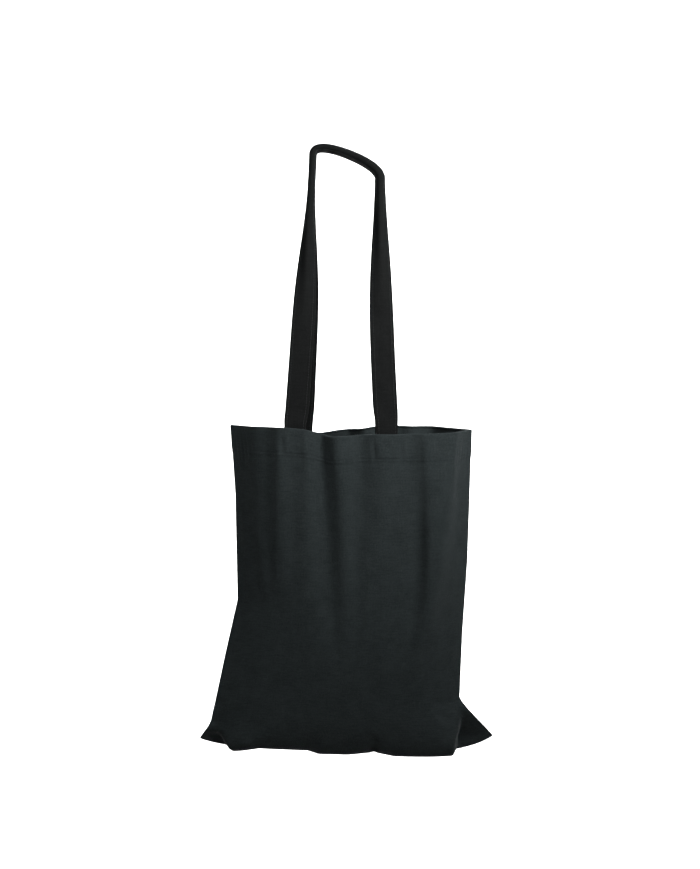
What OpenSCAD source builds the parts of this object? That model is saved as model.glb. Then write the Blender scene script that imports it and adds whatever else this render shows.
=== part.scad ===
// Soft cotton tote bag with two long handles, hanging from its handles with the mouth a little open.
// Millimetres, +Z up. X runs along the mouth, -Y is the front.
// The origin is where the bag is held: under the middle of the handles' crown.

/* [Bag] */
// Width of the bag laid flat, seam to seam
flat_w = 380; // [310:5:460]
// Height of the bag laid flat, hem edge to bottom seam
flat_h = 420; // [340:5:510]
// Thickness of the body cloth
cloth_t = 0.8; // [0.5:0.1:1.2]
// How far apart the front and back stand at the open mouth
mouth_depth = 105; // [80:5:140]
// How far apart the front and back stand at the base
base_depth = 88; // [70:2:110]
// Width of the mouth that its depth and folds take up
mouth_gather = 86; // [60:2:110]
// Length of the bottom seam that its sag takes up
bottom_gather = 10; // [0:1:20]

/* [Hem and seams] */
// Height of the turned hem round the mouth
hem_h = 32; // [22:1:45]
// Thickness of the turned hem inside the body cloth
hem_t = 1.2; // [0.8:0.1:2]
// Distance of the hem stitching from the hem's lower edge
hem_stitch_in = 3; // [2:0.5:6]
// Width of the seam allowance inside the bag
seam_w = 10; // [6:1:14]
// Width of the overlocked edge on a seam allowance
overlock_w = 4; // [3:0.5:5]
// Thickness of the sewing thread
thread_t = 0.6; // [0.4:0.1:1]

/* [Handles] */
// Width of a handle
handle_w = 28; // [20:1:36]
// Thickness of a handle
handle_t = 2; // [1.4:0.1:2.6]
// Height of the grip above the mouth
handle_rise = 335; // [260:5:400]
// Distance between the two ends of a handle at the mouth, centre to centre
handle_spacing = 110; // [90:2:130]
// How far the handles sit to the left of the grip at the mouth
handle_shift = 7; // [0:1:14]
// Distance of a handle's topstitching from its edge
topstitch_in = 3.5; // [2.5:0.5:5]
// Distance between the two sides of a handle just below the grip
grip_span = 80; // [66:2:96]
// How much higher the left side of the grip is than the right
grip_tilt = 28; // [0:2:40]
// How far each half of a handle is folded over in the grip, in degrees
grip_fold = 82; // [60:1:84]
// Gap between the two handles side by side in the grip
grip_gap = 2; // [1:0.2:4]

/* [Hidden] */

black_cloth = [0.13, 0.15, 0.15];
black_webbing = [0.17, 0.18, 0.18];
black_thread = [0.3, 0.32, 0.32];

front = -1;
back = 1;
left = -1;
right = 1;

// Layers that are sewn together bite this far into each other, and thread stands this far out of them
sewn_bite = 0.1;
thread_proud = 0.3;

// Where the mouth's middle is, right of the grip, and where the bottom seam's is
mouth_x = 5;
bottom_x = -1;
mouth_z = -handle_rise;
mouth_half_w = (flat_w - mouth_gather) / 2;
bottom_half_w = (flat_w - bottom_gather) / 2;
// Height over which the walls turn under into the base, and what that curve saves against a square corner
turn_h = 45;
turn_saving = 12;
// Boxiness of that turn: 2 is an ellipse
turn_power = 2.6;
// Depth of the bottom seam below the mouth, and of the start of the turn
drop = flat_h - base_depth / 2 + turn_saving;
turn_s = drop - turn_h;
// How far the ear tips stay above the base, and where each ear leaves the side wall
tip_lift = 6;
left_ear_h = 38;
right_ear_h = 60;
// How far each side seam stands outside the mouth's corner: [share of the way down, millimetres]
left_sway = [[0, 0], [0.2, -5], [0.52, -6], [0.7, 11], [0.84, 23], [0.91, 29]];
right_sway = [[0, 0], [0.4, -3], [0.62, -8], [0.85, -11]];
// Share of each half that is flat across the front, at the mouth and at the base
mouth_flat = 0.58;
base_flat = 0.66;
// How fast the outline falls away from the flat part to the side seams
fall_power = 1.5;
// How closely the bottom seam's sag keeps to its ends
sag_power = 6;

// Facets: across a panel, down its wall, round its turn, along a handle's leg and along its crown
cols = 26;
wall_rows = 12;
turn_rows = 8;
leg_steps = 22;
crown_steps = 16;

function mix(a, b, k) = a + (b - a) * k;
function clamp(k) = min(1, max(0, k));
function smooth(k) = k * k * (3 - 2 * k);
function unit(v) = v / norm(v);

// The side seams' x at depth s below the mouth, out to the ear tips
function side_x(dir, s) =
    let (
        ear_s = drop - (dir == left ? left_ear_h : right_ear_h),
        sway = lookup(min(s, ear_s) / drop, dir == left ? left_sway : right_sway),
        wall = mouth_x + dir * (mouth_half_w + sway),
        tip = bottom_x + dir * bottom_half_w
    )
    mix(wall, tip, clamp((s - ear_s) / (drop - tip_lift - ear_s)));

// A point on a panel's outer face. t runs from the left seam, -1, to the right seam, 1.
// q runs down the wall from the mouth, 0, to the turn, 1, and then under the base to the bottom seam, 2.
function outer_point(side, t, q) =
    let (
        k = clamp(q - 1),
        down = min(q, 1),
        edge_s = mix(down * turn_s, drop - tip_lift, k),
        middle_s = down * turn_s + turn_h * pow(sin(90 * k), 2 / turn_power),
        x = mix(side_x(left, edge_s), side_x(right, edge_s), (t + 1) / 2),
        flat_part = mix(mouth_flat, base_flat, down),
        outline = 1 - pow(max(0, abs(t) - flat_part) / (1 - flat_part), fall_power),
        half_depth = mix(mouth_depth, base_depth, smooth(down)) / 2,
        under = pow(max(0, cos(90 * k)), 2 / turn_power)
    )
    [
        x,
        side * (half_depth * outline * under + cloth_t),
        mouth_z - mix(middle_s, edge_s, pow(abs(t), sag_power))
    ];

// The same point moved into the bag by a depth, square to the cloth and no further than the middle plane
function inside_point(side, t, q, depth) =
    let (
        step = 0.004,
        across = outer_point(side, min(1, t + step), q) - outer_point(side, max(-1, t - step), q),
        down = outer_point(side, t, min(2, q + step)) - outer_point(side, t, max(0, q - step)),
        inward = unit(cross(across, down)) * -side,
        moved = outer_point(side, t, q) + inward * depth
    )
    [moved.x, side * max(0, side * moved.y), moved.z];

// Panel coordinates of a place x along the mouth and s below it
function place(x, s) =
    let (lo = side_x(left, s), hi = side_x(right, s))
    [2 * (x - lo) / (hi - lo) - 1, s / turn_s];

// A solid skinned over loops of points. Every loop runs out along one face and back along the other,
// so that the first and last close as strips.
module skin(loops, flip = false) {
    n = len(loops[0]);
    last = len(loops) - 1;
    function id(j, i) = j * n + i % n;
    walls = [
        for (j = [0:last - 1], i = [0:n - 1]) each [
            [id(j, i), id(j, i + 1), id(j + 1, i + 1)],
            [id(j, i), id(j + 1, i + 1), id(j + 1, i)]
        ]
    ];
    ends = [
        for (j = [0, last], i = [0:n / 2 - 2])
            let (a = id(j, i), b = id(j, i + 1), c = id(j, n - 2 - i), d = id(j, n - 1 - i))
            each j == 0 ? [[a, d, c], [a, c, b]] : [[a, b, c], [a, c, d]]
    ];
    faces = concat(walls, ends);
    polyhedron(
        points = [for (loop = loops) each loop],
        faces = flip ? [for (f = faces) [f[2], f[1], f[0]]] : faces,
        convexity = 10);
}

// A panel's points on one row, at one depth; its edges close on the middle plane with their inner face
function panel_row(side, q, depth) = [
    for (i = [0:cols])
        let (
            t = sin(81 * (2 * i / cols - 1)) / sin(81),
            p = inside_point(side, t, q, depth),
            edge = depth > 0 && (i == 0 || i == cols || q == 2)
        )
        edge ? [p.x, 0, p.z] : p
];

// A loop over two rows of points
function loop_of(outer, inner) = concat(outer, [for (n = [len(inner) - 1:-1:0]) inner[n]]);

// Front or back of the body, from the hem's edge down and under to the bottom seam
module panel(side) {
    rows = [for (j = [0:wall_rows + turn_rows]) j <= wall_rows ? j / wall_rows : 1 + (j - wall_rows) / turn_rows];
    color(black_cloth)
        skin([for (q = rows) loop_of(panel_row(side, q, 0), panel_row(side, q, cloth_t))], side == back);
}

// A layer that follows a panel between two depths, over a patch of it
module layer(side, t_range, s_range, depths, n_across, n_down) {
    function row(s, depth) = [
        for (i = [0:n_across])
            inside_point(side, mix(t_range[0], t_range[1], i / n_across), s / turn_s, depth)
    ];
    skin([
        for (j = [0:n_down])
            let (s = mix(s_range[0], s_range[1], j / n_down))
            loop_of(row(s, depths[0]), row(s, depths[1]))
    ], side == back);
}

// How near a hem runs to the side seams, as a share of the half width
hem_reach = 0.985;
hem_in = cloth_t - sewn_bite;
hem_inner = hem_in + hem_t;
end_in = hem_inner - sewn_bite;
end_inner = end_in + handle_t;

// Turned hem inside the mouth
module hem(side) {
    color(black_cloth)
        layer(side, [-hem_reach, hem_reach], [0, hem_h], [hem_in, hem_inner], cols, 2);
}

// Row of stitches that holds the hem down, right through both layers
module hem_stitching(side) {
    s = hem_h - hem_stitch_in;
    reach = hem_reach - 0.01;
    color(black_thread)
        layer(side, [-reach, reach], [s - thread_t / 2, s + thread_t / 2],
            [-thread_proud, hem_inner + thread_proud], cols, 1);
}

// How far from its seam line an allowance starts, and how far down the side seams they run
allowance_start = 0.9;
side_q_end = 1.68;
// How far along to each side the bottom allowance runs, as a share of the half width
bottom_reach = 0.92;
side_steps = 24;

// The side seam's stations: the seam line's place, and the way into the bag
function side_stations(dir) = [
    for (j = [0:side_steps])
        let (q = mix((hem_h + 1) / turn_s, side_q_end, j / side_steps), p = outer_point(front, dir, q))
        [[p.x, 0, p.z], [-dir, 0, 0]]
];
function bottom_stations() = [
    for (i = [0:cols])
        let (p = outer_point(front, mix(-bottom_reach, bottom_reach, i / cols), 2))
        [[p.x, 0, p.z], [0, 0, 1]]
];

// A profile of [distance from the seam line, distance from the middle plane] along a seam
module along_seam(stations, profile, flip) {
    skin([for (at = stations) [for (p = profile) at[0] + at[1] * p.x + [0, p.y, 0]]], flip);
}

// The two layers of seam allowance that stand inside the bag
module allowance(stations, flip) {
    color(black_cloth)
        along_seam(stations, [
            [allowance_start, -cloth_t], [seam_w, -cloth_t],
            [seam_w, cloth_t], [allowance_start, cloth_t]
        ], flip);
}

// Thread wrapped over an allowance's free edge
module overlock(stations, flip) {
    out = cloth_t + thread_t - sewn_bite;
    in = cloth_t - sewn_bite;
    near = seam_w - overlock_w;
    color(black_thread)
        along_seam(stations, [
            [near, -out], [seam_w + thread_t - sewn_bite, -out], [seam_w + thread_t - sewn_bite, out], [near, out],
            [near, in], [seam_w - sewn_bite, in], [seam_w - sewn_bite, -in], [near, -in]
        ], flip);
}

// Where a handle's centre meets the mouth, the patch its sewn end covers, and the box sewn through it
function root_x(dir) = dir * handle_spacing / 2 - handle_shift;
end_top = 0.2;
end_h = hem_h - hem_stitch_in - thread_t - 1;
box_in = topstitch_in;

// A handle's end, sewn inside the hem
module handle_end(side, dir) {
    color(black_webbing)
        layer(side, [place(root_x(dir) - handle_w / 2, 0)[0], place(root_x(dir) + handle_w / 2, 0)[0]],
            [end_top, end_h], [end_in, end_inner], 4, 3);
}

// A straight run of stitches right through the body, hem and handle end, between two places on the cloth
module stitch_run(side, from, to) {
    steps = 4;
    along = unit(to - from);
    across = [along.y, -along.x] * thread_t / 2;
    function at(p, depth) = let (tq = place(p.x, p.y)) inside_point(side, tq[0], tq[1], depth);
    skin([
        for (n = [0:steps])
            let (p = mix(from, to, n / steps))
            loop_of(
                [at(p - across, -thread_proud), at(p + across, -thread_proud)],
                [at(p - across, end_inner + thread_proud), at(p + across, end_inner + thread_proud)])
    ], side == back);
}

// A sewn box with a cross in it
module box_stitch(side, dir) {
    x0 = root_x(dir) - handle_w / 2 + box_in;
    x1 = root_x(dir) + handle_w / 2 - box_in;
    s0 = end_top + box_in;
    s1 = end_h - box_in / 2;
    reach = thread_t / 2;
    color(black_thread)
        union() {
            stitch_run(side, [x0 - reach, s0], [x1 + reach, s0]);
            stitch_run(side, [x0 - reach, s1], [x1 + reach, s1]);
            stitch_run(side, [x0, s0 - reach], [x0, s1 + reach]);
            stitch_run(side, [x1, s0 - reach], [x1, s1 + reach]);
            stitch_run(side, [x0, s0], [x1, s1]);
            stitch_run(side, [x1, s0], [x0, s1]);
        }
}

// A handle's own geometry. Its line starts a little above the mouth so that it clears the body as it swings.
root_gap = 3.5;
// Half the width of the flat strip between the two folds
spine_half = handle_t / 2 + 0.3;
flap = handle_w / 2 - spine_half;
root_y = mouth_depth / 2 + cloth_t - end_in - handle_t / 2;
grip_y = grip_gap / 2 + flap * sin(grip_fold) + handle_t / 2;
crown_r = 20;

// Corners of the handle's line, seen from the front, and its length up the legs
left_top = [-grip_span / 2 - 1, grip_tilt / 2 - 14];
right_top = [grip_span / 2, -grip_tilt / 2 - 14];
left_root = [root_x(left), mouth_z + root_gap];
right_root = [root_x(right), mouth_z + root_gap];

// A leg's line: straight, with a slight bow inward from its root
bow = [4, -3];
function leg_point(root, top, k, bend) = mix(root, top, k) + [bend * sin(180 * k) * (1 - k * 0.3), 0];

// The crown's line over the grip, from one leg's top to the other's, through the origin
function crown_point(k) =
    let (
        lift_l = [left_top.x + 5, left_top.y + 34],
        lift_r = [right_top.x - 5, right_top.y + 34],
        m = 1 - k
    )
    left_top * m * m * m + lift_l * 3 * m * m * k + lift_r * 3 * m * k * k + right_top * k * k * k;

crown_drop = crown_point(0.5).y;
handle_line = [
    for (j = [0:leg_steps - 1]) leg_point(left_root, left_top, j / leg_steps, bow[0]),
    for (j = [0:crown_steps]) crown_point(j / crown_steps) - [0, crown_drop * sin(180 * j / crown_steps)],
    for (j = [leg_steps - 1:-1:0]) leg_point(right_root, right_top, j / leg_steps, bow[1])
];
handle_n = len(handle_line) - 1;

// How far up from the mouth to the grip a point of the line is
function grip_share(p) = clamp((p.y - left_root.y) / (min(left_top.y, right_top.y) - left_root.y));
fold_from = 0.3;
function fold_at(p) = grip_fold * smooth(clamp((grip_share(p) - fold_from) / (1 - fold_from)));

// A point of the handle's cloth: u across its width, v out of its face, at one station of the line
function handle_point(side, n, u, v) =
    let (
        p = handle_line[n],
        ahead = handle_line[min(handle_n, n + 1)] - handle_line[max(0, n - 1)],
        along = unit(ahead),
        wide = [along.y, 0, -along.x],
        deep = [0, -side, 0],
        fold = fold_at(p),
        y = side * mix(root_y, grip_y, grip_share(p)),
        over = abs(u) - spine_half,
        way = sign(u),
        flat_part = way * min(abs(u), spine_half),
        on_flap = max(0, over),
        corner = over == 0,
        face = corner ? fold / 2 : (over > 0 ? fold : 0),
        reach = corner ? v / cos(fold / 2) : v
    )
    [p.x, y, p.y]
    + wide * (flat_part + way * on_flap * cos(fold) + way * reach * sin(face))
    + deep * (on_flap * sin(fold) - reach * cos(face));

u_stops = [-handle_w / 2, -spine_half - flap / 2, -spine_half, spine_half, spine_half + flap / 2, handle_w / 2];

// The free loop of a handle
module handle(side) {
    color(black_webbing)
        skin([
            for (n = [0:handle_n])
                loop_of(
                    [for (u = u_stops) handle_point(side, n, u, handle_t / 2)],
                    [for (u = u_stops) handle_point(side, n, u, -handle_t / 2)])
        ], side == front);
}

// Rows of stitches near both edges of a handle, joined by a row across it just above its left end
module topstitching(side) {
    u = handle_w / 2 - topstitch_in;
    v = handle_t / 2 + thread_proud;
    half = thread_t / 2;
    step = norm(handle_line[1] - handle_line[0]);
    function low(k, across, out) =
        mix(handle_point(side, 0, across, out), handle_point(side, 1, across, out), k / step);
    color(black_thread)
        union() {
            for (row = [-u, u])
                skin([
                    for (n = [0:handle_n])
                        loop_of(
                            [handle_point(side, n, row - half, v), handle_point(side, n, row + half, v)],
                            [handle_point(side, n, row - half, -v), handle_point(side, n, row + half, -v)])
                ], side == front);
            skin([
                for (across = [-u, u])
                    loop_of(
                        [low(topstitch_in + half, across, v), low(topstitch_in - half, across, v)],
                        [low(topstitch_in + half, across, -v), low(topstitch_in - half, across, -v)])
            ], side == front);
        }
}

panel(front);  // front_panel
panel(back);  // back_panel
hem(front);  // front_hem
hem(back);  // back_hem
hem_stitching(front);  // front_hem_stitching
hem_stitching(back);  // back_hem_stitching
allowance(side_stations(left), false);  // left_seam_allowance
allowance(side_stations(right), true);  // right_seam_allowance
allowance(bottom_stations(), false);  // bottom_seam_allowance
overlock(side_stations(left), false);  // left_seam_overlock
overlock(side_stations(right), true);  // right_seam_overlock
overlock(bottom_stations(), false);  // bottom_seam_overlock
handle_end(front, left);  // front_left_handle_end
handle_end(front, right);  // front_right_handle_end
handle_end(back, left);  // back_left_handle_end
handle_end(back, right);  // back_right_handle_end
box_stitch(front, left);  // front_left_box_stitch
box_stitch(front, right);  // front_right_box_stitch
box_stitch(back, left);  // back_left_box_stitch
box_stitch(back, right);  // back_right_box_stitch
handle(front);  // front_handle
handle(back);  // back_handle
topstitching(front);  // front_handle_topstitching
topstitching(back);  // back_handle_topstitching
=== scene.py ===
"""A black cotton tote bag hanging from its two long handles, with its mouth a little open.

The bag is cut and sewn as a real one is: two flat panels joined at the sides and the bottom, a turned hem,
two handles sewn inside it, and raw edges wrapped in thread. The body is draped by cloth simulation from its
flat cut. Everything sewn to it (hem, stitches, seam allowances, handle ends) is then placed on that drape by
its place on the cut.
"""

import logging
import math
from dataclasses import dataclass, field
from enum import Enum
from typing import Callable, Optional, Union

import bmesh
import bpy
import numpy as np
from mathutils import Matrix, Vector


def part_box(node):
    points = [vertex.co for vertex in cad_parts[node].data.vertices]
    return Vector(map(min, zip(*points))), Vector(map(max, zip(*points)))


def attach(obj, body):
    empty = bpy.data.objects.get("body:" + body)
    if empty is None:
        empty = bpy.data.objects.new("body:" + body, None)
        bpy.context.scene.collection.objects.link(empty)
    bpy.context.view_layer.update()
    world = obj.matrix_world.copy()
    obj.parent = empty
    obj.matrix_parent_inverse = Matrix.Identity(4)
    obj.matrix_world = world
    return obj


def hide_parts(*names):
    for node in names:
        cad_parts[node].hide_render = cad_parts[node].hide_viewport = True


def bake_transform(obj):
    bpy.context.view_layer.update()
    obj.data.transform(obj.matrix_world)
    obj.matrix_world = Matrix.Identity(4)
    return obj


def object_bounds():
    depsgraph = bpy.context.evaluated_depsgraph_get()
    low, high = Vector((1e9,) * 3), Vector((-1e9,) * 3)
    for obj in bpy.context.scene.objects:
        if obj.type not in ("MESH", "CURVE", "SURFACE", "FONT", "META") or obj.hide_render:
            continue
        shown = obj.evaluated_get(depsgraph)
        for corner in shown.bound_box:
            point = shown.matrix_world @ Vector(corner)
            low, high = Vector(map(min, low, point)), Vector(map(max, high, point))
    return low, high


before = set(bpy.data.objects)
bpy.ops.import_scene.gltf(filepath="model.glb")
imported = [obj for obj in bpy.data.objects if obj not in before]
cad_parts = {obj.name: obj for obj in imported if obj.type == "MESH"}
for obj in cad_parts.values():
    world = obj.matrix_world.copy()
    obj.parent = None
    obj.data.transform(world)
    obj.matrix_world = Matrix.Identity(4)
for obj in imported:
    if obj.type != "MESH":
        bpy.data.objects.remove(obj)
cad_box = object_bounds()

log = logging.getLogger("tote")

MM = 0.001
CLOTH_T = 0.8 * MM
HEM_T = 1.2 * MM
HANDLE_W = 28 * MM
HANDLE_T = 2 * MM
TOPSTITCH_IN = 3.5 * MM
STITCH_PITCH = 3.1 * MM
STITCH_LENGTH = 2.4 * MM
THREAD_R = 0.28 * MM
HEM_H = 32 * MM
HEM_STITCH_IN = 3 * MM
END_H = 27.4 * MM
UP = np.array([0.0, 0.0, 1.0])
SHARP_TURN = 1.1

Number = Union[float, np.ndarray]
Point = tuple[float, float, float]
Colour = tuple[float, float, float]
Curve = tuple[tuple[float, float], ...]


class Side(Enum):
    """The two faces of the bag. The value is the sign of their Y."""

    FRONT = -1
    BACK = 1

    @property
    def label(self) -> str:
        """The side's name as it starts the names of its pieces."""
        return self.name.lower()


class Hand(Enum):
    """Left and right as seen from the front. The value is the sign of their X."""

    LEFT = -1
    RIGHT = 1

    @property
    def label(self) -> str:
        """The hand's name as it stands in the names of its pieces."""
        return self.name.lower()


def mix(a: Number, b: Number, k: Number) -> Number:
    """A value the share k of the way from a to b, for numbers and arrays alike."""
    return a + (b - a) * k


def smooth(k: Number) -> Number:
    """A share from 0 to 1 that eases in and out."""
    k = np.clip(k, 0.0, 1.0)
    return k * k * (3 - 2 * k)


def bump(x: Number, width: float) -> Number:
    """A bell of height one at 0 that falls away over a width."""
    return np.exp(-((x / width) ** 2))


def unit(v: np.ndarray) -> np.ndarray:
    """Vectors along the last axis, at length one."""
    return v / np.maximum(np.linalg.norm(v, axis=-1, keepdims=True), 1e-12)


# ---------------------------------------------------------------- finishes


class Nodes:
    """A material's node tree with short calls to add nodes and links."""

    def __init__(self, name: str) -> None:
        """Starts a material with a Principled shader.

        Args:
            name: the material's name.
        """
        self.material = bpy.data.materials.new(name)
        self.material.use_nodes = True
        self.tree = self.material.node_tree
        self.shader = self.tree.nodes["Principled BSDF"]

    def add(self, kind: str, inputs: Optional[dict] = None, **settings) -> bpy.types.Node:
        """Adds one node.

        Args:
            kind: the node's type without its ShaderNode start.
            inputs: socket name or number to a value or to another node's output.
            settings: the node's own properties.

        Returns:
            The new node.
        """
        node = self.tree.nodes.new("ShaderNode" + kind)
        for key, value in settings.items():
            setattr(node, key, value)
        for key, value in (inputs or {}).items():
            if isinstance(value, bpy.types.NodeSocket):
                self.tree.links.new(value, node.inputs[key])
            else:
                node.inputs[key].default_value = value
        return node

    def math(self, operation: str, a: Union[float, bpy.types.NodeSocket],
             b: Union[float, bpy.types.NodeSocket] = 0.0) -> bpy.types.NodeSocket:
        """A sum on two numbers or sockets; returns its output."""
        return self.add("Math", {0: a, 1: b}, operation=operation).outputs[0]

    def total(self, *parts: tuple[bpy.types.NodeSocket, float]) -> bpy.types.NodeSocket:
        """Adds outputs up, each times its own weight.

        Args:
            parts: the outputs and their weights.

        Returns:
            The output of the last sum.
        """
        weighed = [self.math("MULTIPLY", output, weight) for output, weight in parts]
        result = weighed[0]
        for output in weighed[1:]:
            result = self.math("ADD", result, output)
        return result

    def noise(self, place: bpy.types.NodeSocket, scale: float, detail: float = 2.0,
              roughness: float = 0.5) -> bpy.types.NodeSocket:
        """A soft noise.

        Args:
            place: where it is read.
            scale: how fine it is.
            detail: how many finer layers it has.
            roughness: how strong the finer layers are.

        Returns:
            Its output.
        """
        return self.add("TexNoise", {"Vector": place, "Scale": scale, "Detail": detail,
                                     "Roughness": roughness}).outputs["Fac"]

    def ramp(self, factor: bpy.types.NodeSocket, low: Colour, high: Colour,
             start: float, end: float) -> bpy.types.NodeSocket:
        """A blend from one colour to another.

        Args:
            factor: what it follows.
            low: the colour up to start.
            high: the colour from end on.
            start: the factor at which it begins to turn.
            end: the factor at which it has turned.

        Returns:
            Its output.
        """
        node = self.add("ValToRGB", {"Fac": factor})
        node.color_ramp.elements[0].position = start
        node.color_ramp.elements[0].color = (*low, 1.0)
        node.color_ramp.elements[1].position = end
        node.color_ramp.elements[1].color = (*high, 1.0)
        return node.outputs["Color"]

    def link(self, output: bpy.types.NodeSocket, socket: str) -> None:
        """Joins an output to the shader's socket."""
        self.tree.links.new(output, self.shader.inputs[socket])


@dataclass(frozen=True)
class WovenFinish:
    """Woven cotton whose yarns follow the piece's own UV map, which is in metres.

    Attributes:
        name: the material's name.
        dark: the colour of its darkest yarns.
        light: the colour of its lightest yarns.
        yarn: the width of a yarn.
        slub: how fine its uneven yarns are.
        weave_depth: the depth of its weave.
        sheen: how much its fluff catches the light.
        roughness: how matt it is.
        specular: how much it mirrors.
        mottle: how fine its worn patches are.
        grain: how fine its lumps of yarn are.
        fuzz: how fine its fluff is.
        crease: how fine its small creases are.
        crease_depth: the depth of its small creases.
        tone_from: where its tone starts to turn from dark to light.
        tone_to: where its tone has turned light.
    """

    name: str
    dark: Colour
    light: Colour
    yarn: float
    slub: float
    weave_depth: float
    sheen: float
    roughness: float = 0.86
    specular: float = 0.12
    mottle: float = 38.0
    grain: float = 520.0
    fuzz: float = 1400.0
    crease: float = 75.0
    crease_depth: float = 0.9 * MM
    tone_from: float = 0.45
    tone_to: float = 0.67

    def material(self) -> bpy.types.Material:
        """Builds the finish once and returns it."""
        made = bpy.data.materials.get(self.name)
        return made or self._build()

    def _build(self) -> bpy.types.Material:
        """Makes the nodes: a plain weave, thicker yarns here and there, and a soft worn mottling.

        Returns:
            The new material.
        """
        n = Nodes(self.name)
        uv = n.add("UVMap", uv_map="cut").outputs["UV"]
        axes = n.add("SeparateXYZ", {0: uv})
        turns = math.pi / self.yarn
        warp = n.math("SINE", n.math("MULTIPLY", axes.outputs[0], turns))
        weft = n.math("SINE", n.math("MULTIPLY", axes.outputs[1], turns))
        weave = n.math("MULTIPLY", warp, weft)
        stretched = self.slub * 0.08
        along = n.add("Mapping", {"Vector": uv, "Scale": (stretched, self.slub, 1.0)}).outputs[0]
        across = n.add("Mapping", {"Vector": uv, "Scale": (self.slub, stretched, 1.0)}).outputs[0]
        slubs = n.total((n.noise(along, 1.0), 1.0), (n.noise(across, 1.0), 0.6))
        mottle = n.noise(uv, self.mottle, 4.0, 0.6)
        fuzz = n.noise(uv, self.fuzz)
        grain = n.noise(uv, self.grain, 3.0, 0.7)
        crease = n.noise(uv, self.crease, 3.0, 0.55)
        tone = n.total((slubs, 0.22), (mottle, 0.2), (weave, 0.05), (fuzz, 0.15), (grain, 0.45))
        n.link(n.ramp(tone, self.dark, self.light, self.tone_from, self.tone_to), "Base Color")
        height = n.total((weave, 0.5), (slubs, 0.5), (fuzz, 0.5), (grain, 1.0))
        small = n.add("Bump", {"Strength": 0.55, "Distance": self.weave_depth, "Height": height})
        large = n.add("Bump", {"Strength": 0.5, "Distance": self.crease_depth, "Height": crease,
                               "Normal": small.outputs[0]})
        n.link(large.outputs[0], "Normal")
        n.shader.inputs["Roughness"].default_value = self.roughness
        n.shader.inputs["Specular IOR Level"].default_value = self.specular
        n.shader.inputs["Sheen Weight"].default_value = self.sheen
        n.shader.inputs["Sheen Roughness"].default_value = 0.55
        n.shader.inputs["Sheen Tint"].default_value = (0.75, 0.85, 0.87, 1.0)
        return n.material


@dataclass(frozen=True)
class ThreadFinish:
    """Spun sewing thread, its twist worked out from where a stitch stands.

    Attributes:
        name: the material's name.
        dark: the colour between its plies.
        light: the colour of its plies.
        twist: how fine its plies are.
        fluff: how fine its fluff is.
        fluff_depth: the depth of its plies and fluff.
        roughness: how matt it is.
        specular: how much it mirrors.
        sheen: how much its fluff catches the light.
    """

    name: str
    dark: Colour
    light: Colour
    twist: float = 900.0
    fluff: float = 1500.0
    fluff_depth: float = 0.08 * MM
    roughness: float = 0.62
    specular: float = 0.14
    sheen: float = 0.05

    def material(self) -> bpy.types.Material:
        """Builds the finish once and returns it."""
        made = bpy.data.materials.get(self.name)
        return made or self._build()

    def _build(self) -> bpy.types.Material:
        """Makes the nodes: slanting ply lines and a little fluff.

        Returns:
            The new material.
        """
        n = Nodes(self.name)
        place = n.add("TexCoord").outputs["Object"]
        ply = n.add("TexWave", {"Vector": place, "Scale": self.twist, "Distortion": 1.5, "Detail": 1.0},
                    wave_type="BANDS", bands_direction="DIAGONAL").outputs["Fac"]
        tone = n.total((ply, 0.5), (n.noise(place, self.fluff), 0.5))
        n.link(n.ramp(tone, self.dark, self.light, 0.25, 0.8), "Base Color")
        bumps = n.add("Bump", {"Strength": 0.6, "Distance": self.fluff_depth, "Height": tone})
        n.link(bumps.outputs[0], "Normal")
        n.shader.inputs["Roughness"].default_value = self.roughness
        n.shader.inputs["Specular IOR Level"].default_value = self.specular
        n.shader.inputs["Sheen Weight"].default_value = self.sheen
        return n.material


Finish = Union[WovenFinish, ThreadFinish]

CLOTH = WovenFinish("black_cotton_cloth", dark=(0.0036, 0.0060, 0.0062), light=(0.0112, 0.0146, 0.0153),
                    yarn=0.5 * MM, slub=700.0, weave_depth=0.16 * MM, sheen=0.03)
WEBBING = WovenFinish("black_cotton_webbing", dark=(0.0014, 0.0016, 0.0016), light=(0.0038, 0.0041, 0.0041),
                      yarn=0.7 * MM, slub=520.0, weave_depth=0.25 * MM, sheen=0.02,
                      specular=0.05)
THREAD = ThreadFinish("black_sewing_thread", dark=(0.0026, 0.0031, 0.0032), light=(0.0085, 0.0098, 0.0102))


# ---------------------------------------------------------------- the drape


@dataclass(frozen=True)
class Fold:
    """A soft fold that runs down a panel from the mouth.

    Attributes:
        top_x: X of its crest at the mouth.
        low_x: X of its crest where it dies away.
        height: how far the crest stands out; a valley is below zero.
        half_width: its half width at the mouth.
        length: how far down the panel it reaches.
    """

    top_x: float
    low_x: float
    height: float
    half_width: float
    length: float

    def offset(self, x: np.ndarray, s: np.ndarray) -> np.ndarray:
        """How far the fold moves the cloth outwards.

        Args:
            x: X of each place.
            s: how far below the mouth each place is.

        Returns:
            The distance at each place.
        """
        k = np.clip(s / self.length, 0.0, 1.0)
        reach = self.half_width * (1 + 0.9 * k)
        return self.height * bump(x - mix(self.top_x, self.low_x, k), reach) * (1 - k ** 2.5)


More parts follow.
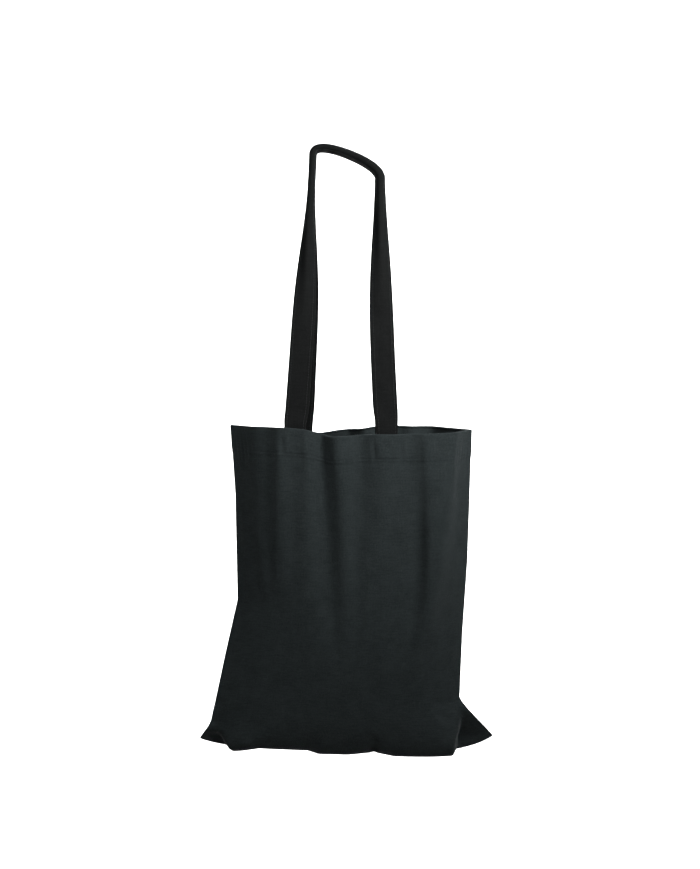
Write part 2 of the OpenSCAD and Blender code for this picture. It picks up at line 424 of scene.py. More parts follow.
FRONT_FOLDS = (
    Fold(-0.112, -0.108, 0.002, 0.012, 0.26),
    Fold(-0.094, -0.094, -0.003, 0.011, 0.26),
    Fold(-0.078, -0.078, 0.002, 0.009, 0.24),
    Fold(-0.046, -0.020, 0.003, 0.009, 0.32),
    Fold(-0.031, -0.006, -0.009, 0.011, 0.33),
    Fold(-0.012, 0.010, 0.006, 0.011, 0.30),
    Fold(0.016, 0.032, -0.007, 0.013, 0.32),
    Fold(0.078, 0.050, -0.009, 0.018, 0.34),
    Fold(0.130, 0.070, 0.013, 0.015, 0.38),
)
BACK_FOLDS = (
    Fold(-0.095, -0.090, 0.008, 0.012, 0.28),
    Fold(-0.030, -0.012, -0.009, 0.012, 0.30),
    Fold(0.000, 0.010, 0.010, 0.011, 0.32),
    Fold(0.024, 0.030, -0.007, 0.010, 0.25),
    Fold(0.082, 0.075, -0.008, 0.012, 0.28),
    Fold(0.110, 0.100, 0.008, 0.012, 0.30),
)
FOLDS = {Side.FRONT: FRONT_FOLDS, Side.BACK: BACK_FOLDS}

# How far the mouth's edge rises above its level, and the bottom edge above its own, as (x, rise).
LIPS = {
    Side.FRONT: ((-0.142, 0.006), (-0.076, 0.006), (-0.05, 0.0036), (-0.034, -0.001), (-0.02, -0.0048),
                 (-0.002, -0.0044), (0.033, -0.0022), (0.061, -0.0026), (0.1, -0.002), (0.152, 0)),
    Side.BACK: ((-0.142, 0.006), (-0.125, 0.001), (-0.08, -0.006), (-0.034, -0.007), (-0.014, -0.0045),
                (0.015, -0.0025), (0.033, 0.0005), (0.061, 0.0017), (0.152, 0)),
}
BOTTOM_LIP = ((-0.145, 0.001), (-0.11, 0.007), (-0.05, 0.005), (-0.035, 0.0), (0.0, -0.001), (0.033, 0.002),
              (0.06, -0.003), (0.132, -0.004))


@dataclass
class BodyDrape:
    """The shape that the sewn body hangs in, found by cloth simulation from its flat cut.

    A place on the cut is (u, v): u across from the middle, v down from the mouth, in metres.

    Attributes:
        flat_w: the width of a panel between its seams.
        flat_h: the height of a panel from its mouth to its seam.
        cols: columns of the drape's grid.
        rows: rows of the drape's grid.
        turn_h: how high the cloth starts to turn under the base.
        left_tip_lift: how far the left ear's tip hangs above the lowest edge.
        right_tip_lift: how far the right ear's tip does.
        extra_drop: how far below the solid panel the cloth hangs.
        left_ear_h: how high above the lowest edge the left ear starts.
        right_ear_h: how high the right ear starts.
        turn_power: how square the turn under the base is.
        fall_power: how the mouth narrows to its seams.
        base_fall_power: how the base narrows to its seams.
        left_crease: where the left ear's crease crosses the base, as a share of the half width.
        right_crease: where the right ear's does.
        crease_half_w: how soft the ears' creases are.
        ear_thinness: how flat the ears are.
        ear_lean: how far the ears lean back.
        ear_pivot: how far down an ear it starts to lean back, as a share; above that it leans forward.
        seam_hold: how firmly the seams keep their line in the simulation.
        ear_hold: how firmly the ears do.
        tip_hold: how firmly the ears' tips do.
        sag_power: how suddenly a row rises to its seams.
        mouth_flat: the share of the mouth that keeps its full depth.
        base_flat: the share of the base that does.
        base_half_depth: half the base's depth.
        left_sway: how far the left seam stands out, as (share of the drop, distance).
        right_sway: how far the right seam does.
        lip_fade: how far down the waves of the mouth's edge die away.
        back_root_shift: how far right of its solid the back handle's left foot is sewn.
        frames: the simulation's length.
        fill_pressure: how hard the body is filled.
        quality: steps of the simulation in a frame.
        cloth_mass: the mass of each of its points.
        air_drag: how much the air slows it.
        stretch: how hard the cloth is to stretch.
        shear: how hard it is to shear.
        bending: how hard it is to bend.
        damping: how soon stretching and shearing come to rest.
        bend_damping: how soon bending does.
        hem_step: how far the hem pushes the cloth out.
        stitch_pull: how far the hem's stitches pull it in.
        pucker_h: the height of the puckers along the stitches.
        end_step: how far a handle's end pushes the cloth out.
        end_crease: the depth of the creases beside a handle's end.
        grids: the hanging points of each side, by row and column.
        roots: the middles of the handles' ends across the cut.
    """

    flat_w: float = 0.380
    flat_h: float = 0.420
    cols: int = 76
    rows: int = 84
    turn_h: float = 0.022
    left_tip_lift: float = 0.011
    right_tip_lift: float = 0.019
    extra_drop: float = 0.016
    left_ear_h: float = 0.038
    right_ear_h: float = 0.072
    turn_power: float = 2.6
    fall_power: float = 1.5
    base_fall_power: float = 1.1
    left_crease: float = 0.77
    right_crease: float = 0.73
    crease_half_w: float = 0.05
    ear_thinness: float = 0.85
    ear_lean: float = 0.034
    ear_pivot: float = 0.4
    seam_hold: float = 0.4
    ear_hold: float = 0.35
    tip_hold: float = 0.8
    sag_power: float = 6.0
    mouth_flat: float = 0.58
    base_flat: float = 0.72
    base_half_depth: float = 0.018
    left_sway: Curve = ((0, 0), (0.2, -0.005), (0.52, -0.006), (0.7, 0.011), (0.84, 0.023), (0.91, 0.029))
    right_sway: Curve = ((0, 0), (0.4, -0.003), (0.62, -0.008), (0.85, -0.011))
    lip_fade: float = 0.15
    back_root_shift: float = 5 * MM
    frames: int = 26
    fill_pressure: float = 12.0
    quality: int = 6
    cloth_mass: float = 0.2
    air_drag: float = 2.0
    stretch: float = 40.0
    shear: float = 20.0
    bending: float = 5.0
    damping: float = 10.0
    bend_damping: float = 1.0
    hem_step: float = 0.7 * MM
    stitch_pull: float = 0.38 * MM
    pucker_h: float = 0.26 * MM
    end_step: float = 0.5 * MM
    end_crease: float = 1.6 * MM
    grids: dict[Side, np.ndarray] = field(default_factory=dict)
    roots: dict[tuple[Side, Hand], float] = field(default_factory=dict)

    def __post_init__(self) -> None:
        """Takes the mouth, the ear tips and the base from the CAD panel's box."""
        low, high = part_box("front_panel")
        hem_low, hem_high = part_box("front_hem")
        self.mouth_z = high.z
        self.drop = high.z - low.z + self.extra_drop
        self.half_depth = -low.y - CLOTH_T
        self.mouth_x = (hem_low.x + hem_high.x) / 2
        self.mouth_half_w = (hem_high.x - hem_low.x) / 2 + 2.7 * MM
        self.bottom_x = (low.x + high.x) / 2
        self.bottom_half_w = (high.x - low.x) / 2
        self.turn_s = self.drop - self.turn_h
        self.grids = {side: self._hang(side) for side in Side}
        front, back = (self.grids[side] for side in Side)
        for seam in ((slice(None), 0), (slice(None), -1), (-1, slice(None))):
            front[seam] = back[seam] = (front[seam] + back[seam]) / 2

    def _side_x(self, hand: Hand, s: np.ndarray) -> np.ndarray:
        """X of a side seam, out to the tip of its ear.

        Args:
            hand: which seam.
            s: depths below the mouth.

        Returns:
            X at each depth.
        """
        ear_s = self.drop - (self.left_ear_h if hand is Hand.LEFT else self.right_ear_h)
        shares, sways = zip(*(self.left_sway if hand is Hand.LEFT else self.right_sway))
        sway = np.interp(np.minimum(s, ear_s) / self.drop, shares, sways)
        wall = self.mouth_x + hand.value * (self.mouth_half_w + sway)
        tip = self.bottom_x + hand.value * self.bottom_half_w
        return mix(wall, tip, np.clip((s - ear_s) / (self._tip_s(hand) - ear_s), 0, 1))

    def _tip_s(self, hand: Hand) -> float:
        """How far below the mouth the tip of an ear hangs."""
        return self.drop - (self.left_tip_lift if hand is Hand.LEFT else self.right_tip_lift)

    def _outer(self, side: Side, t: np.ndarray, q: float) -> np.ndarray:
        """A row of the panel before it is draped.

        Args:
            side: front or back.
            t: places across, from -1 at the left seam to 1 at the right.
            q: the row's place down the wall, 0 to 1, and under the base, 1 to 2.

        Returns:
            One point for each t.
        """
        k, down = np.clip(q - 1, 0, 1), min(q, 1.0)
        left_s, right_s = (mix(down * self.turn_s, self._tip_s(hand), k) for hand in Hand)
        middle_s = down * self.turn_s + self.turn_h * math.sin(math.pi / 2 * k) ** (2 / self.turn_power)
        x = mix(self._side_x(Hand.LEFT, left_s), self._side_x(Hand.RIGHT, right_s), (t + 1) / 2)
        flat = mix(self.mouth_flat, self.base_flat, down)
        power = mix(self.fall_power, self.base_fall_power, down)
        outline = 1 - (np.maximum(0, np.abs(t) - flat) / (1 - flat)) ** power
        under = max(0.0, math.cos(math.pi / 2 * k)) ** (2 / self.turn_power)
        folds = sum(fold.offset(x, down * self.turn_s) for fold in FOLDS[side])
        depth = mix(self.half_depth, self.base_half_depth, smooth(down)) * outline
        thin, lean = self._ear(t, np.where(t < 0, left_s, right_s))
        y = (depth * (1 - thin) + folds * np.minimum(1, outline * 2)) * under + side.value * lean
        lip_x, lip_z = zip(*LIPS[side])
        lip = np.interp(x, lip_x, lip_z) * (1 - smooth(middle_s / self.lip_fade))
        low_x, low_z = zip(*BOTTOM_LIP)
        lip += np.interp(x, low_x, low_z) * smooth((middle_s - self.lip_fade) / (self.drop - self.lip_fade))
        z = self.mouth_z + lip - mix(middle_s, np.where(t < 0, left_s, right_s), np.abs(t) ** self.sag_power)
        return np.stack([x, side.value * y, z], -1)

    def _ear(self, t: np.ndarray, s: np.ndarray) -> tuple[np.ndarray, np.ndarray]:
        """The flat corners that stand out from the body below a crease.

        Args:
            t: places across, from -1 to 1.
            s: depths below the mouth of the row's ends.

        Returns:
            How much thinner the bag is at each place, from 0 to 1, and how far it leans back.
        """
        thin, lean = 0.0, 0.0
        for hand, ear_h, crease in ((Hand.LEFT, self.left_ear_h, self.left_crease),
                                    (Hand.RIGHT, self.right_ear_h, self.right_crease)):
            start = self.drop - ear_h
            grown = np.clip((s - start) / (self._tip_s(hand) - start), 0, 1)
            past = smooth((t * hand.value - mix(1.0, crease, grown)) / self.crease_half_w + 0.5)
            started = smooth(grown * 3)
            thin = thin + self.ear_thinness * past * started
            lean = lean + self.ear_lean * past * (grown - self.ear_pivot) * started
        return thin, lean

    def _hang(self, side: Side) -> np.ndarray:
        """The panel's grid of points before it is draped, evenly spaced along each row as on the cut.

        Args:
            side: front or back.

        Returns:
            Points by row and column.
        """
        grid = np.zeros((self.rows + 1, self.cols + 1, 3))
        dense = np.linspace(-1, 1, 401)
        for j, v in enumerate(np.linspace(0, self.flat_h, self.rows + 1)):
            q = v / self.turn_s if v <= self.turn_s else 1 + (v - self.turn_s) / (self.flat_h - self.turn_s)
            line = self._outer(side, dense, q)
            run = np.concatenate([[0], np.cumsum(np.linalg.norm(np.diff(line, axis=0), axis=1))])
            grid[j] = self._outer(side, np.interp(np.linspace(0, run[-1], self.cols + 1), run, dense), q)
        return grid

    def _sewn_mesh(self) -> tuple[bpy.types.Object, np.ndarray]:
        """The two panels sewn at the sides and the bottom.

        Returns:
            The mesh object and its points' places on the flat cut, front a hair in front of the back.
        """
        bm = bmesh.new()
        cut = bm.verts.layers.float_vector.new("cut")
        for side in Side:
            made = bmesh.ops.create_grid(bm, x_segments=self.cols, y_segments=self.rows, size=0.5)["verts"]
            for v in made:
                i, j = round((v.co.x + 0.5) * self.cols), round((0.5 - v.co.y) * self.rows)
                inner = 0 < i < self.cols and j < self.rows
                v[cut] = Vector(((i / self.cols - 0.5) * self.flat_w, side.value * 0.5 * MM * inner,
                                 -self.flat_h * j / self.rows))
                v.co = self.grids[side][j, i]
            if side is Side.BACK:
                bmesh.ops.reverse_faces(bm, faces=list({f for v in made for f in v.link_faces}))
        bmesh.ops.remove_doubles(bm, verts=bm.verts, dist=1e-6)
        bm.verts.ensure_lookup_table()
        flat = np.array([v[cut] for v in bm.verts])
        mesh = bpy.data.meshes.new("body_drape")
        bm.to_mesh(mesh)
        bm.free()
        body = bpy.data.objects.new("body_drape", mesh)
        bpy.context.scene.collection.objects.link(body)
        return body, flat

    def simulate(self) -> None:
        """Lets the body hang from its mouth, lightly filled, and keeps the shape that it comes to."""
        body, flat = self._sewn_mesh()
        body.shape_key_add(name="hung")
        cut = body.shape_key_add(name="cut")
        cut.data.foreach_set("co", flat.ravel())
        cut.value = 0.0
        held = body.vertex_groups.new(name="held")
        for n, (across, _, down) in enumerate(flat):
            hold = self._hold(abs(across) / (self.flat_w / 2), -down)
            if hold > 0.01:
                held.add([n], hold, "REPLACE")
        fill = body.vertex_groups.new(name="fill")
        for n, v in enumerate(-flat[:, 2]):
            fill.add([n], float(max(0.05, smooth((v - 0.05) / 0.35))), "REPLACE")
        cloth = body.modifiers.new("cloth", "CLOTH")
        s = cloth.settings
        s.quality, s.mass, s.air_damping = self.quality, self.cloth_mass, self.air_drag
        s.tension_stiffness = s.compression_stiffness = self.stretch
        s.shear_stiffness, s.bending_stiffness = self.shear, self.bending
        s.tension_damping = s.compression_damping = s.shear_damping = self.damping
        s.bending_damping = self.bend_damping
        s.vertex_group_mass, s.rest_shape_key = held.name, cut
        s.use_pressure, s.uniform_pressure_force = True, self.fill_pressure
        s.vertex_group_pressure = fill.name
        cloth.collision_settings.use_collision = False
        scene = bpy.context.scene
        scene.frame_start = cloth.point_cache.frame_start = 1
        scene.frame_end = cloth.point_cache.frame_end = self.frames
        for n in range(1, self.frames + 1):
            scene.frame_set(n)
        hung = body.evaluated_get(bpy.context.evaluated_depsgraph_get()).data
        co = np.zeros(len(hung.vertices) * 3)
        hung.vertices.foreach_get("co", co)
        self._keep(co.reshape(-1, 3), flat)
        scene.frame_set(1)
        mesh = body.data
        bpy.data.objects.remove(body)
        bpy.data.meshes.remove(mesh)

    def _hold(self, across: float, v: float) -> float:
        """How firmly the stiffer hem and seams keep their own hang at a place on the cut, from 0 to 1.

        Args:
            across: the share of the way from the middle to a side seam.
            v: the place down from the mouth.

        Returns:
            1 at the mouth, little along the seams, more at the tips of the ears.
        """
        if v < 1e-5:
            return 1.0
        tip = smooth((v / self.flat_h - 0.75) / 0.25) * smooth((across - 0.7) / 0.25)
        if across > 0.999 or v > self.flat_h - 1e-5:
            return float(mix(self.seam_hold, self.tip_hold, tip))
        low, outer = smooth((v - self.flat_h + 0.085) / 0.03), smooth((across - 0.55) / 0.15)
        return float(self.ear_hold * low * outer)

    def _keep(self, points: np.ndarray, flat: np.ndarray) -> None:
        """Sorts the simulated points back into each panel's rows and columns.

        Args:
            points: the simulated points.
            flat: their places on the flat cut.
        """
        i = np.rint((flat[:, 0] / self.flat_w + 0.5) * self.cols).astype(int)
        j = np.rint(-flat[:, 2] / self.flat_h * self.rows).astype(int)
        seam = (i == 0) | (i == self.cols) | (j == self.rows)
        for side in Side:
            own = seam | (np.sign(flat[:, 1]) == side.value)
            self.grids[side][j[own], i[own]] = points[own]

    @staticmethod
    def _weights(f: np.ndarray) -> list[np.ndarray]:
        """The four weights of a smooth curve through evenly spaced points.

        Args:
            f: how far past the second of the four points, as a share of their spacing.

        Returns:
            The weight of each of the four.
        """
        return [
            (-f + 2 * f * f - f ** 3) / 2,
            (2 - 5 * f * f + 3 * f ** 3) / 2,
            (f + 4 * f * f - 3 * f ** 3) / 2,
            (f ** 3 - f * f) / 2,
        ]

    def place(self, side: Side, u: np.ndarray, v: np.ndarray) -> np.ndarray:
        """Where places on the cut hang.

        Args:
            side: front or back.
            u: places across from the middle.
            v: places down from the mouth, of the same shape.

        Returns:
            One point for each place.
        """
        grid = self.grids[side]
        x = np.clip((np.asarray(u, float) / self.flat_w + 0.5) * self.cols, 0, self.cols)
        y = np.clip(np.asarray(v, float) / self.flat_h * self.rows, 0, self.rows)
        i, j = (np.minimum(a.astype(int), top - 1) for a, top in ((x, self.cols), (y, self.rows)))
        across, down = self._weights(x - i), self._weights(y - j)
        total = 0.0
        for n, wy in enumerate(down):
            row = np.clip(j - 1 + n, 0, self.rows)
            for m, wx in enumerate(across):
                total = total + (wy * wx)[..., None] * grid[row, np.clip(i - 1 + m, 0, self.cols)]
        return total

    def ways(self, side: Side, u: np.ndarray, v: np.ndarray) -> tuple[np.ndarray, np.ndarray, np.ndarray]:
        """The unit vectors across, down and into the bag at places on the cut.

        Args:
            side: front or back.
            u: places across from the middle.
            v: places down from the mouth.

        Returns:
            Three arrays of vectors: across, down, inward.
        """
        step, u, v = 1.2 * MM, np.asarray(u, float), np.asarray(v, float)
        across = unit(self.place(side, np.minimum(u + step, self.flat_w / 2), v)
                      - self.place(side, np.maximum(u - step, -self.flat_w / 2), v))
        down = unit(self.place(side, u, np.minimum(v + step, self.flat_h))
                    - self.place(side, u, np.maximum(v - step, 0)))
        return across, down, unit(np.cross(across, down)) * -side.value

    def relief(self, side: Side, u: np.ndarray, v: np.ndarray) -> np.ndarray:
        """How far the hem, its stitches and the handle ends push the cloth outwards.

        Args:
            side: front or back.
            u: places across from the middle.
            v: places down from the mouth.

        Returns:
            The distance at each place.
        """
        ends = [self.root(side, hand) for hand in Hand]
        below_stitches = v - HEM_H + HEM_STITCH_IN
        near_end = sum(bump(u - end, 0.024) for end in ends)
        near_seam = bump(np.abs(u) - self.flat_w / 2, 0.045)
        push = self.hem_step * (1 - smooth((v - HEM_H + 1.5 * MM) / (2.5 * MM)))
        pull = self.stitch_pull * bump(below_stitches, 1.3 * MM)
        swing = np.sin(u / (1.6 * MM) + 2.6 * np.sin(u / 0.013) + side.value)
        swing = swing + 0.6 * np.sin(u / (2.7 * MM) + 1.3)
        gather = 0.45 + 0.3 * near_seam + 0.4 * near_end + 0.3 * np.sin(u / 0.021 + 2)
        total = push - pull + self.pucker_h * swing * gather * bump(below_stitches, 0.011)
        for end in ends:
            beside = np.abs(u - end) - HANDLE_W / 2
            on_end = (1 - smooth(beside / (2 * MM) + 0.5)) * (1 - smooth((v - END_H) / (2 * MM)))
            along_end = bump(beside - 3.5 * MM, 3 * MM) * bump(v - 0.021, 0.014)
            total = total + self.end_step * on_end - self.end_crease * along_end
        return total

    def at(self, side: Side, u: np.ndarray, v: np.ndarray, depth: Number) -> np.ndarray:
        """Points at a depth into the bag from places on the cut; below zero stands out of the cloth."""
        inward = np.asarray(depth) - self.relief(side, np.asarray(u, float), np.asarray(v, float))
        return self.place(side, u, v) + self.ways(side, u, v)[2] * inward[..., None]

    def root(self, side: Side, hand: Hand) -> float:
        """The place across the cut of the middle of a handle's end.

        Args:
            side: front or back.
            hand: left or right.

        Returns:
            The place.
        """
        if (side, hand) not in self.roots:
            low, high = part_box(f"{side.label}_{hand.label}_handle_end")
            shift = self.back_root_shift if (side, hand) == (Side.BACK, Hand.LEFT) else 0.0
            self.roots[side, hand] = self.u_of(side, (low.x + high.x) / 2 + shift)
        return self.roots[side, hand]

    def u_of(self, side: Side, x: float) -> float:
        """The place across the cut that hangs at X on the mouth."""
        u = np.linspace(-self.flat_w / 2, self.flat_w / 2, self.cols + 1)
        return float(np.interp(x, self.grids[side][0, :, 0], u))


# ---------------------------------------------------------------- making pieces


def strip_mesh(cols: int, rows: int, point: Callable[[np.ndarray, np.ndarray], np.ndarray],
               cut: Callable[[np.ndarray, np.ndarray], np.ndarray]) -> bmesh.types.BMesh:
    """A sheet of faces laid out as a grid, with its places on the cut as a UV map.

    Args:
        cols: faces across.
        rows: faces down.
        point: takes arrays of column and row numbers and returns their points.
        cut: takes the same arrays and returns their places on the cut, in metres.

    Returns:
        The new mesh, still open.
    """
    bm = bmesh.new()
    bmesh.ops.create_grid(bm, x_segments=cols, y_segments=rows, size=0.5)
    uv = bm.loops.layers.uv.new("cut")
    i = np.array([round((v.co.x + 0.5) * cols) for v in bm.verts])
    j = np.array([round((0.5 - v.co.y) * rows) for v in bm.verts])
    points, places = point(i, j), cut(i, j)
    bm.verts.index_update()
    for face in bm.faces:
        for loop in face.loops:
            loop[uv].uv = places[loop.vert.index]
    for v, co in zip(bm.verts, points):
        v.co = co
    return bm


def thicken(bm: bmesh.types.BMesh, thickness: float, outward: Union[Point, np.ndarray]) -> None:
    """Gives a sheet its thickness on the far side of its face.

    Args:
        bm: the open sheet, which becomes a closed shell.
        thickness: its thickness.
        outward: a direction that the sheet's middle face should look towards.
    """
    bm.faces.ensure_lookup_table()
    bm.normal_update()
    middle = bm.faces[len(bm.faces) // 2]
    if np.dot(np.array(middle.normal), outward) < 0:
        bmesh.ops.reverse_faces(bm, faces=bm.faces)
        bm.normal_update()
    made = bmesh.ops.extrude_face_region(bm, geom=bm.faces[:], use_keep_orig=True)["geom"]
    bm.normal_update()
    inner = {f for f in made if isinstance(f, bmesh.types.BMFace)}
    moved = [v for v in made if isinstance(v, bmesh.types.BMVert)]
    normals = []
    for v in moved:
        corners = (c for c in v.link_loops if c.face in inner)
        normals.append(sum((c.face.normal * c.calc_angle() for c in corners), Vector()).normalized())
    for v, normal in zip(moved, normals):
        v.co -= normal * thickness
    bmesh.ops.recalc_face_normals(bm, faces=bm.faces)


def round_rim(bm: bmesh.types.BMesh, radius: float, segments: int = 2) -> None:
    """Rounds the sharp edges that run round a thickened sheet.

    Args:
        bm: the closed shell.
        radius: the radius of the rounding.
        segments: faces across it.
    """
    rim = [e for e in bm.edges if len(e.link_faces) == 2 and e.calc_face_angle(0.0) > SHARP_TURN]
    bmesh.ops.bevel(bm, geom=rim, offset=radius, segments=segments, profile=0.5, affect="EDGES", material=-1,
                    clamp_overlap=True)


def finished(bm: bmesh.types.BMesh, name: str, finish: Finish) -> bpy.types.Object:
    """Turns a mesh in the making into a smooth shaded, dressed piece.

    Args:
        bm: the mesh, which is freed.
        name: the piece's name.
        finish: what it is dressed in.

    Returns:
        The new object.
    """
    mesh = bpy.data.meshes.new(name)
    for face in bm.faces:
        face.smooth = True
    bm.to_mesh(mesh)
    bm.free()
    mesh.materials.append(finish.material())
    piece = bpy.data.objects.new(name, mesh)
    bpy.context.scene.collection.objects.link(piece)
    log.info("%s: %d faces", name, len(mesh.polygons))
    return piece


def on_bag(piece: bpy.types.Object, node: str) -> bpy.types.Object:
    """Lets a piece stand for one CAD node and stay with the bag.

    Args:
        piece: the piece.
        node: the CAD node's name.

    Returns:
        The piece.
    """
    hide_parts(node)
    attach(piece, "bag")
    return piece


def stitch_template() -> bpy.types.Mesh:
    """One stitch: a short pillow of thread along X, a few dozen faces.

    Returns:
        Its mesh, made once.
    """
    mesh = bpy.data.meshes.get("one_stitch")
    if mesh is None:
        bm = bmesh.new()
        bmesh.ops.create_uvsphere(bm, u_segments=6, v_segments=5, radius=1.0)
        bmesh.ops.rotate(bm, verts=bm.verts, cent=(0, 0, 0), matrix=Matrix.Rotation(math.pi / 2, 3, "Y"))
        bmesh.ops.scale(bm, verts=bm.verts, vec=(STITCH_LENGTH / 2, THREAD_R, THREAD_R))
        mesh = bpy.data.meshes.new("one_stitch")
        bm.to_mesh(mesh)
        bm.free()
    return mesh


def sew(bm: bmesh.types.BMesh, points: np.ndarray, along: np.ndarray, out: np.ndarray) -> None:
    """Sets a stitch at each point.

    Args:
        bm: where the stitches go.
        points: their middles.
        along: the way each one runs.
        out: the way each one faces.
    """
    template = stitch_template()
    size = len(template.vertices)
    for p, a, o in zip(points, along, out):
        side_way = unit(np.cross(o, a))
        turn = Matrix((a, side_way, np.cross(a, side_way))).transposed().to_4x4()
        bm.from_mesh(template)
        bm.verts.ensure_lookup_table()
        bmesh.ops.transform(bm, matrix=Matrix.Translation(Vector(p)) @ turn, verts=bm.verts[-size:])


def row_of_stitches(bm: bmesh.types.BMesh, points: np.ndarray, out: np.ndarray) -> None:
    """Sews along a line at the stitch pitch.

    Args:
        bm: where the stitches go.
        points: the line, close points in order.
        out: the way the cloth faces at each of them.
    """
    run = np.concatenate([[0], np.cumsum(np.linalg.norm(np.diff(points, axis=0), axis=1))])
    places = np.arange(STITCH_PITCH / 2, run[-1], STITCH_PITCH)
    middle, facing, along = (
        np.stack([np.interp(places, run, a[:, k]) for k in range(3)], -1)
        for a in (points, out, np.gradient(points, axis=0))
    )
    sew(bm, middle, unit(along), unit(facing))


# ---------------------------------------------------------------- the body's pieces


@dataclass
class Panel:
    """One face of the bag: a single piece of cloth that rolls over the mouth and turns in at its seams.

    Attributes:
        body: the drape that it lies on.
        side: front or back.
        across: columns between its two edges.
        hem_rows: rows down the hem.
        down: rows from the hem to the base.
        roll_steps: faces round the roll of the mouth.
        turn_in: how far from a seam it starts to turn in.
        turn_depth: how deep it has turned in at the seam.
        edge_steps: rows and columns near a seam, as shares of turn_in.
        tuck: how far the rolled cloth reaches down inside, as a share of the roll's radius.
        roll_saving: what the roll takes off the length along the cloth, as a share of its radius.
    """

    body: BodyDrape
    side: Side
    across: int = 186
    hem_rows: int = 34
    down: int = 150
    roll_steps: int = 6
    turn_in: float = 1.5 * MM
    turn_depth: float = 0.62 * MM
    edge_steps: tuple[float, ...] = (0, 0.2, 0.5, 0.85, 1.3)
    tuck: float = 1.9
    roll_saving: float = 0.57

    def _columns(self) -> np.ndarray:
        """Places across the cut, closer together at the two seams.

        Returns:
            The places, from the left seam to the right.
        """
        half, edge = self.body.flat_w / 2, self.turn_in * np.array(self.edge_steps)
        inner = half - 4 * MM
        return np.concatenate([-half + edge, np.linspace(-inner, inner, self.across), half - edge[::-1]])

    def _rows(self) -> tuple[np.ndarray, np.ndarray, np.ndarray]:
        """The panel's line from the hem over the mouth and down to the bottom seam.

        Returns:
            Places down the cut, depths of the outer face, and lengths along the cloth.
        """
        radius, middle = (CLOTH_T + HEM_T) / 2, (HEM_T - CLOTH_T) / 2
        turn = np.linspace(0, math.pi, self.roll_steps + 1)
        edge = self.turn_in * np.array(self.edge_steps[::-1])
        flat_h = self.body.flat_h
        v = np.concatenate([
            [radius * self.tuck], radius - radius * np.sin(turn),
            np.linspace(radius * self.tuck, HEM_H + 3 * MM, self.hem_rows),
            np.linspace(HEM_H + 5.5 * MM, flat_h - 3.5 * MM, self.down), flat_h - edge,
        ])
        depth = np.full(v.shape, -CLOTH_T)
        depth[0] = HEM_T
        depth[1:self.roll_steps + 2] = middle + radius * np.cos(turn)
        length = v - radius * self.roll_saving
        rolled = np.concatenate([[1 - self.tuck], turn]) - math.pi
        length[:self.roll_steps + 2] = radius * (rolled + 1 - self.roll_saving)
        return v, depth, length

    def build(self) -> bpy.types.Object:
        """Makes the panel.

        Returns:
            The piece.
        """
        body, side = self.body, self.side
        u, (v, depth, length) = self._columns(), self._rows()
        to_seam = np.minimum.outer(body.flat_h - v, np.full(u.shape, 1.0))
        to_seam = np.minimum(to_seam, (body.flat_w / 2 - np.abs(u))[None, :])
        turned = np.maximum(0, 1 - to_seam / self.turn_in)
        deep = depth[:, None] + self.turn_depth * turned ** 2
        grid = body.at(side, *np.meshgrid(u, v), deep)
        bm = strip_mesh(len(u) - 1, len(v) - 1, lambda i, j: grid[j, i],
                        lambda i, j: np.stack([u[i], -length[j]], -1))
        thicken(bm, CLOTH_T, (0, side.value, 0))
        return on_bag(finished(bm, f"{side.label}_panel_cloth", CLOTH), f"{side.label}_panel")


@dataclass
class Hem:
    """The turned edge inside the mouth of one panel, and the row of stitches that holds it.

    Attributes:
        body: the drape that it lies on.
        side: front or back.
        across: faces across.
        down: faces down.
        clear: the gap between it and the panel.
        start: how far below the mouth its cloth starts, under the panel's roll.
        end_gap: the gap between its ends and the seams.
        stitch_proud: how far the stitches' middles stand out of the panel.
        stitch_deep: how far those inside stand out of the hem.
    """

    body: BodyDrape
    side: Side
    across: int = 190
    down: int = 26
    clear: float = 0.03 * MM
    start: float = 2.0 * MM
    end_gap: float = 1.2 * MM
    stitch_proud: float = 0.1 * MM
    stitch_deep: float = 0.13 * MM

    def cloth(self) -> bpy.types.Object:
        """Makes the two layers of the hem.

        Returns:
            The piece.
        """
        half = self.body.flat_w / 2 - self.end_gap
        u, v = np.linspace(-half, half, self.across + 1), np.linspace(self.start, HEM_H, self.down + 1)
        grid = self.body.at(self.side, *np.meshgrid(u, v), self.clear)
        bm = strip_mesh(self.across, self.down, lambda i, j: grid[j, i],
                        lambda i, j: np.stack([u[i], v[j]], -1))
        thicken(bm, HEM_T, (0, self.side.value, 0))
        name = f"{self.side.label}_hem"
        return on_bag(finished(bm, f"{name}_cloth", CLOTH), name)

    def stitching(self) -> bpy.types.Object:
        """Makes the row of stitches on both faces of the hem.

        Returns:
            The piece.
        """
        half = self.body.flat_w / 2 - 3 * MM
        u = np.linspace(-half, half, 600)
        v = np.full(u.shape, HEM_H - HEM_STITCH_IN)
        inward = self.body.ways(self.side, u, v)[2]
        bm = bmesh.new()
        row_of_stitches(bm, self.body.at(self.side, u, v, -CLOTH_T - self.stitch_proud), -inward)
        row_of_stitches(bm, self.body.at(self.side, u, v, HEM_T + self.stitch_deep), inward)
        name = f"{self.side.label}_hem"
        return on_bag(finished(bm, f"{name}_stitches", THREAD), f"{name}_stitching")


class Edge(Enum):
    """The three seams of the body. The value is the sign of X at a side seam, and 0 at the bottom."""

    LEFT = -1
    BOTTOM = 0
    RIGHT = 1


